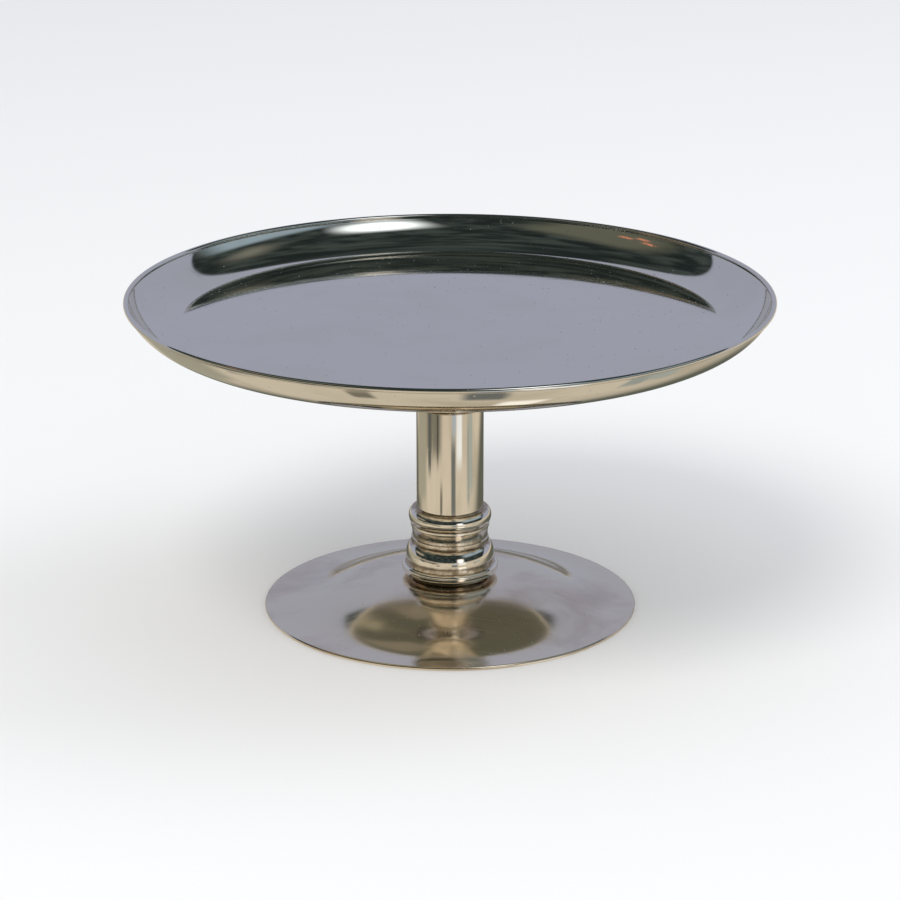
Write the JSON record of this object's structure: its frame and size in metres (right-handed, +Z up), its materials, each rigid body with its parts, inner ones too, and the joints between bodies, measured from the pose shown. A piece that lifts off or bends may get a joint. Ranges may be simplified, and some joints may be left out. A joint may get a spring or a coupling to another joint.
{
  "type": "footed offering plate",
  "caption": "Shallow round polished plate on a slim ringed stem and a low spun foot, held together by a threaded knop at the foot of the stem.",
  "frame": {"origin": "centre of the circle that the foot rests on", "axes": "+Z up along the stem; the object is round about Z, so X and Y are any two level directions"},
  "size_m": [0.3, 0.3, 0.152],
  "materials": {
    "silver_plate": "bright polished silver plate, a little warm, fine wiping scratches, tarnish in the grooves",
    "foot_plate": "older silver plate, polished but hazy, with faint brown smudges",
    "brass": "turned brass, unplated and dull",
    "steel": "zinc-plated steel fasteners",
    "fibre": "red vulcanised fibre"
  },
  "bodies": {
    "foot_assembly": {"foot": "foot_plate", "spigot": "brass", "seat_washer": "fibre", "foot_washer": "steel", "foot_nut": "steel"},
    "top_assembly": {"plate": "silver_plate", "rim_wire": "brass", "plate_boss": "silver_plate", "stem_tube": "silver_plate", "upper_ring": "silver_plate", "tube_flange": "brass", "tie_rod": "steel", "tie_washer": "steel", "tie_nut": "steel"},
    "knop_nut": {"knop": "silver_plate"}
  },
  "joints": [
    {"name": "stem_rise", "type": "slide", "parent": "foot_assembly", "child": "top_assembly", "axis": [0, 0, 1], "range_m": [0, 0.006]},
    {"name": "knop_turn", "type": "hinge", "parent": "top_assembly", "child": "knop_nut", "pos_m": [0, 0, 0.033], "axis": [0, 0, 1], "range_deg": [0, 1440]}
  ],
  "couplings": [
    {"joint": "knop_turn", "follows": "stem_rise", "rad_per_m": 4188.8}
  ]
}
